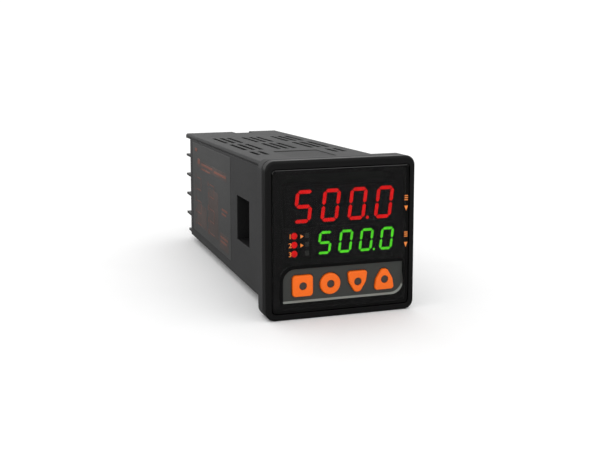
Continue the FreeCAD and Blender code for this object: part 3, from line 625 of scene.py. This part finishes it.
class CONTROLLER_OT_keys(bpy.types.Operator):
    """Colours the key panel and the keys, paints a highlight on the panel's upward faces and shade
    on the key edges, and sets a dark dot in each key
    """

    bl_idname = "controller.keys"
    bl_label = "Keys"

    def execute(self, context):
        finishes = context.scene.controller_finishes
        panel = plastic("panel_plastic", finishes.panel_colour, 0.42, grain=0.25, cloud=0.1)
        # Painted highlight: faces of the key panel that look upwards are made paler by this gain.
        dress(scale_colour(panel, upward_highlight_mask_group(), {}, finishes.lip_highlight_gain), "key_panel")
        # Painted shade: the negative edge amount darkens the rounded edges of the keys.
        orange = plastic("key_plastic", finishes.key_colour, 0.42, specular=0.3, cloud=0.1,
                         speckle=0.08, edge=-0.25, grain=0.2)
        dark = plastic("dot_plastic", finishes.dot_colour, 0.5, grain=0.2)
        for key in KEYS:
            dress(orange, "key_" + key)
            self.add_dot(key, dark, context.scene.controller_marks)
        return {"FINISHED"}

    def add_dot(self, key, material, marks):
        """Dark button that fills the dimple of a key to just below its face."""
        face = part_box("key_" + key)[0].y + marks.dot_sink
        plunger_low, plunger_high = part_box("plunger_" + key)
        middle = (plunger_low + plunger_high) / 2
        centre = Vector((middle.x, face, middle.z))

        def build(shape):
            add_disc(shape, centre, marks.dot_radius, marks.dot_depth, marks.dot_round)

        name = "key_dot_" + key
        new_piece(name, merged_mesh(name, build), material, key + "_key")


class CONTROLLER_OT_displays(bpy.types.Operator):
    """Lights the digits and the output lamps behind the window, and paints a faint glow on the
    unlit status lamps
    """

    bl_idname = "controller.displays"
    bl_label = "Displays and lamps"

    def execute(self, context):
        finishes = context.scene.controller_finishes
        face = plastic("display_plastic", (0.008, 0.008, 0.008), 0.4)
        dress(face, "upper_display", "lower_display", "lamp_holder")
        red = glowing("segment_red", finishes.red_light, finishes.red_strength)
        green = glowing("segment_green", finishes.green_light, finishes.green_strength)
        dress(red, "upper_lit_segments", "output_lamps")
        dress(green, "lower_lit_segments")
        unlit = plastic("segment_dark", (0.03, 0.03, 0.03), 0.4)
        dress(unlit, "upper_dark_segments", "lower_dark_segments")
        # Painted light: the unlit status lamps get a faint grey emission that stands in for light
        # falling on them.
        dress(glowing("lamp_unlit", (0.3, 0.31, 0.28), 0.6), "status_lamps")
        return {"FINISHED"}


class CONTROLLER_OT_electronics(bpy.types.Operator):
    """Colours the boards and what stands on them"""

    bl_idname = "controller.electronics"
    bl_label = "Boards and components"

    def execute(self, context):
        board = plastic("board_laminate", (0.012, 0.085, 0.03), 0.35, cloud=0.3, speckle=0.5)
        dress(board, "display_board", "control_board", "power_board")
        black = plastic("component_black", (0.012, 0.012, 0.013), 0.4)
        dress(black, "output_relay_1", "output_relay_2", "output_relay_3", "processor",
              "control_header", "power_header")
        for key in KEYS:
            dress(black, "switch_" + key, "plunger_" + key)
        ferrite = plastic("ferrite", (0.03, 0.03, 0.033), 0.6, speckle=0.4)
        dress(ferrite, "transformer_core")
        tape = plastic("winding_tape", (0.42, 0.28, 0.05), 0.35, cloud=0.3)
        dress(tape, "transformer_bobbin")
        sleeve = plastic("capacitor_sleeve", (0.01, 0.014, 0.04), 0.3)
        dress(sleeve, "bulk_capacitor", "smoothing_capacitor")
        return {"FINISHED"}


class CONTROLLER_OT_terminals(bpy.types.Operator):
    """Gives the terminals their plated metal"""

    bl_idname = "controller.terminals"
    bl_label = "Terminals"

    def execute(self, context):
        dress(metal("plated_steel", (0.55, 0.54, 0.5), 0.32), "terminal_screws")
        dress(metal("plated_washer", (0.5, 0.49, 0.46), 0.36), "terminal_washers")
        dress(metal("tinned_brass", (0.52, 0.47, 0.36), 0.34), "terminal_plates")
        return {"FINISHED"}


class CONTROLLER_OT_marks(bpy.types.Operator):
    """Prints plain marks beside the digits and plain numbers beside the output lamps, and paints a
    highlight line along the top of the window
    """

    bl_idname = "controller.marks"
    bl_label = "Window marks"

    # Half widths of the bars and of the triangle, as parts of half the height of a mark.
    bar_ratio = 0.7
    triangle_ratio = 0.75
    # Distances of the numbers and arrows from the middle of a lamp, in radii of the lamp.
    number_reach = 1.65
    arrow_reach = 2.1
    number_lift = 0.1 * MM
    output_count = 3
    status_count = 2

    def execute(self, context):
        marks = context.scene.controller_marks
        finishes = context.scene.controller_finishes
        ink = plastic("mark_ink", finishes.mark_colour, 0.5, edge=0.0, grain=0.1)
        grey = plastic("line_ink", finishes.window_highlight_colour, 0.5, edge=0.0, grain=0.1)

        def build_marks(shape):
            self.add_digit_marks(shape, marks)
            self.add_lamp_marks(shape, marks)

        # Painted highlight: a grey bar along the top of the window, in place of the lit edge of
        # its recess.
        def build_line(shape):
            reach = (window_high.x - window_low.x) / 2 - marks.line_inset
            place = facing_front((window_low.x + window_high.x) / 2,
                                 window_high.z - marks.line_drop)
            add_bar(shape, place, -reach, 0, reach, 0, marks.window_line, marks.thickness)

        new_piece("window_marks", merged_mesh("window_marks", build_marks), ink, HOUSING)
        new_piece("window_line", merged_mesh("window_line", build_line), grey, HOUSING)
        return {"FINISHED"}

    def add_digit_marks(self, shape, marks):
        """Three bars over a triangle that points down, at the right of each row of digits."""
        x = window_high.x - marks.mark_inset
        half = marks.mark_height / 2
        line = marks.mark_line
        bar_reach = half * self.bar_ratio
        corner = half * self.triangle_ratio
        for low, high in ((upper_low, upper_high), (lower_low, lower_high)):
            z = (low.z + high.z) / 2 - marks.mark_drop + marks.mark_pitch / 2
            place = facing_front(x, z)
            for height in (half - line / 2, 0, line / 2 - half):
                add_bar(shape, place, -bar_reach, height, bar_reach, height, line,
                        marks.thickness)
            place = facing_front(x, z - marks.mark_pitch)
            triangle = ((-corner, half), (0, -half), (corner, half))
            add_plate(shape, place, triangle, marks.thickness)

    def add_lamp_marks(self, shape, marks):
        """Numbers at the left of the output lamps and triangles beside the status lamps."""
        radius = (lamps_high.x - lamps_low.x) / 2
        x = (lamps_low.x + lamps_high.x) / 2
        top = lamps_high.z - radius
        pitch = (top - lamps_low.z - radius) / (self.output_count - 1)
        for row in range(self.output_count):
            z = top - row * pitch + self.number_lift
            place = facing_front(x - self.number_reach * radius, z)
            add_number(shape, str(row + 1), marks.number_height, marks.thickness, place)
        width, half = marks.arrow_width / 2, marks.arrow_height / 2
        for row in range(self.status_count):
            place = facing_front(x + self.arrow_reach * radius, top - row * pitch)
            add_plate(shape, place, ((-width, half), (-width, -half), (width, 0.0)),
                      marks.thickness)


class CONTROLLER_OT_side_print(bpy.types.Operator):
    """Lays a film on the left side of the case and prints a plain numbered diagram on it"""

    bl_idname = "controller.side_print"
    bl_label = "Side label and print"

    # Level strips in millimetres: rear and front end behind the panel, height of the strip's
    # middle above the centre of the case, and width.
    film = ((99.0, 41.0, 1.05, 37.1),)
    fields = ((92.0, 46.0, 11.5, 3.0), (92.0, 76.0, -9.5, 9.0), (73.0, 58.0, -5.0, 18.0),
              (56.0, 44.0, -13.0, 6.0))
    heading = ((95.0, 91.0, 17.0, 1.4), (90.0, 86.5, 12.6, 2.2), (84.0, 66.0, 11.9, 0.9),
               (64.0, 47.0, 11.4, 0.9), (84.0, 70.0, 10.0, 0.7), (53.0, 45.0, -1.0, 0.7),
               (53.0, 47.0, -2.6, 0.7), (55.0, 45.0, -11.6, 0.7), (55.0, 46.5, -13.2, 0.7))
    # Columns of numbered terminals: distance behind the panel and first number.
    columns = ((94.0, 1), (73.0, 6))
    rows = 5
    first_row = 5.6
    row_pitch = 4.8
    # A level line leads forwards from each number, and some are joined to the line below.
    lead_start = 2.5
    lead_end = 9.0
    joined_rows = (0, 2)

    def execute(self, context):
        marks = context.scene.controller_marks
        finishes = context.scene.controller_finishes
        film = plastic("label_film", finishes.label_colour, 0.45, cloud=0.25, speckle=0.2,
                       edge=0.0)
        tint = plastic("side_tint", finishes.tint_colour, 0.5, cloud=0.5, edge=0.0)
        ink = plastic("side_ink", finishes.print_colour, 0.5, cloud=0.5, edge=0.0)
        base = 0.0
        for name, material, strips, thickness in (
                ("side_label", film, self.film, marks.film_thickness),
                ("side_fields", tint, self.fields, marks.thickness / 2),
                ("side_print", ink, self.heading, marks.thickness)):
            plane = facing_left(base + thickness / 2)

            def build(shape):
                for rear, front, z, width in strips:
                    self.add_strip(shape, plane, rear, front, z, width * MM, thickness)
                if name == "side_print":
                    self.add_terminals(shape, plane, thickness, marks)

            new_piece(name, merged_mesh(name, build), material, HOUSING)
            base += thickness
        return {"FINISHED"}

    def add_strip(self, shape, plane, rear, front, z, width, thickness):
        """Level bar between two distances behind the panel."""
        add_bar(shape, plane, -rear * MM, z * MM, -front * MM, z * MM, width, thickness)

    def add_terminals(self, shape, plane, thickness, marks):
        """Numbered terminals in two columns, with their lines."""
        for column, first in self.columns:
            for row in range(self.rows):
                z = self.first_row - row * self.row_pitch
                place = plane @ Matrix.Translation((-column * MM, z * MM, 0))
                add_number(shape, str(first + row), marks.side_height, thickness, place)
                self.add_strip(shape, plane, column - self.lead_start, column - self.lead_end, z,
                               marks.line_width, thickness)
            y = -(column - self.lead_end) * MM
            for row in self.joined_rows:
                top = (self.first_row - row * self.row_pitch) * MM
                add_bar(shape, plane, y, top, y, top - self.row_pitch * MM, marks.line_width,
                        thickness)


class CONTROLLER_OT_stage(bpy.types.Operator):
    """Sets the floor, the soft lights and the camera"""

    bl_idname = "controller.stage"
    bl_label = "Stage and camera"

    # Half the side of the floor, wide enough to reach the horizon.
    floor_reach = 60.0
    # Tone of the surround below the horizon, and the width of the fade into it.
    below_horizon = 0.14
    horizon_fade = 0.02
    # Name, power setting, side and place of each soft light, and what they face.
    lights = (("top_light", "top_power", 0.55, (-0.05, 0.22, 0.55)),
              ("side_light", "side_power", 0.35, (-0.6, -0.1, 0.25)))
    light_target = (0.0, 0.03, 0.0)
    sensor_width = 36.0
    nearest_view = 0.01

    def execute(self, context):
        scene = context.scene
        stage = scene.controller_stage
        scene.view_settings.view_transform = "Standard"
        self.add_floor(scene, stage)
        self.set_world(scene, stage)
        for name, power, side, place in self.lights:
            self.add_light(scene, name, getattr(stage, power), side, Vector(place))
        self.add_camera(scene, stage)
        return {"FINISHED"}

    def add_floor(self, scene, stage):
        """Wide flat floor at the lowest point of the controller."""
        reach = self.floor_reach
        corners = [(x, y, cad_low.z) for x, y in (
            (-reach, -reach), (reach, -reach), (reach, reach), (-reach, reach))]
        mesh = bpy.data.meshes.new("floor")
        mesh.from_pydata(corners, [], [(0, 1, 2, 3)])
        floor = bpy.data.objects.new("floor", mesh)
        scene.collection.objects.link(floor)
        paper = plastic("floor_paper", stage.floor_colour, 0.9, specular=0.1, cloud=0.02,
                        speckle=0.02, edge=0.0, grain=0.05, grain_scale=400.0)
        floor.data.materials.append(paper)
        floor.visible_glossy = False

    def set_world(self, scene, stage):
        """White surround above the horizon and a dark one below it, which only the gloss sees."""
        world = bpy.data.worlds.new("surround")
        scene.world = world
        world.use_nodes = True
        tree = world.node_tree
        background = tree.nodes["Background"]
        background.inputs["Strength"].default_value = stage.world_strength
        split = tree.nodes.new("ShaderNodeSeparateXYZ")
        direction = tree.nodes.new("ShaderNodeTexCoord").outputs["Generated"]
        tree.links.new(direction, split.inputs["Vector"])
        ramp = tree.nodes.new("ShaderNodeValToRGB")
        below, above = ramp.color_ramp.elements
        below.position = 0.5 - self.horizon_fade
        below.color = (self.below_horizon, self.below_horizon, self.below_horizon, 1.0)
        above.position = 0.5
        above.color = (1.0, 1.0, 1.0, 1.0)
        height = math_node(tree, "MULTIPLY_ADD", split.outputs["Z"], 0.5)
        height.node.inputs[2].default_value = 0.5
        tree.links.new(height, ramp.inputs["Fac"])
        tree.links.new(ramp.outputs["Color"], background.inputs["Color"])

    def add_light(self, scene, name, power, side, place):
        """Square soft light that faces the controller."""
        data = bpy.data.lights.new(name, "AREA")
        data.energy = power
        data.size = side
        light = bpy.data.objects.new(name, data)
        light.location = place
        light.rotation_mode = "QUATERNION"
        aim = Vector(self.light_target) - place
        light.rotation_quaternion = aim.to_track_quat("-Z", "Y")
        scene.collection.objects.link(light)

    def add_camera(self, scene, stage):
        """Camera on a line of sight through the target, turned by the roll."""
        data = bpy.data.cameras.new("camera")
        data.lens = stage.lens
        data.sensor_width = self.sensor_width
        data.shift_x, data.shift_y = stage.shift
        data.clip_start = self.nearest_view
        camera = bpy.data.objects.new("camera", data)
        level = math.cos(stage.elevation)
        back = Vector((math.sin(stage.azimuth) * level, -math.cos(stage.azimuth) * level,
                       math.sin(stage.elevation)))
        place = Matrix.Translation(Vector(stage.target) + back * stage.distance)
        turn = (-back).to_track_quat("-Z", "Y").to_matrix().to_4x4()
        camera.matrix_world = place @ turn @ Matrix.Rotation(stage.roll, 4, "Z")
        scene.collection.objects.link(camera)
        scene.camera = camera


# ------------------------------------------------------------------ panel


STEPS = (
    CONTROLLER_OT_stage,
    CONTROLLER_OT_case,
    CONTROLLER_OT_front,
    CONTROLLER_OT_keys,
    CONTROLLER_OT_displays,
    CONTROLLER_OT_electronics,
    CONTROLLER_OT_terminals,
    CONTROLLER_OT_marks,
    CONTROLLER_OT_side_print,
)


class CONTROLLER_PT_steps(bpy.types.Panel):
    """Lists the finishing steps of the controller"""

    bl_idname = "CONTROLLER_PT_steps"
    bl_label = "Temperature Controller"
    bl_space_type = "VIEW_3D"
    bl_region_type = "UI"
    bl_category = "Controller"

    def draw(self, context):
        for step in STEPS:
            self.layout.operator(step.bl_idname)


GROUPS = (ControllerFinishes, ControllerMarks, ControllerStage)


def register():
    for group in GROUPS:
        bpy.utils.register_class(group)
    bpy.types.Scene.controller_finishes = bpy.props.PointerProperty(type=ControllerFinishes)
    bpy.types.Scene.controller_marks = bpy.props.PointerProperty(type=ControllerMarks)
    bpy.types.Scene.controller_stage = bpy.props.PointerProperty(type=ControllerStage)
    for step in STEPS:
        bpy.utils.register_class(step)
    bpy.utils.register_class(CONTROLLER_PT_steps)


def unregister():
    bpy.utils.unregister_class(CONTROLLER_PT_steps)
    for step in reversed(STEPS):
        bpy.utils.unregister_class(step)
    del bpy.types.Scene.controller_stage
    del bpy.types.Scene.controller_marks
    del bpy.types.Scene.controller_finishes
    for group in reversed(GROUPS):
        bpy.utils.unregister_class(group)


def main():
    register()
    for step in STEPS:
        family, name = step.bl_idname.split(".")
        getattr(getattr(bpy.ops, family), name)()


if __name__ == "__main__":
    main()
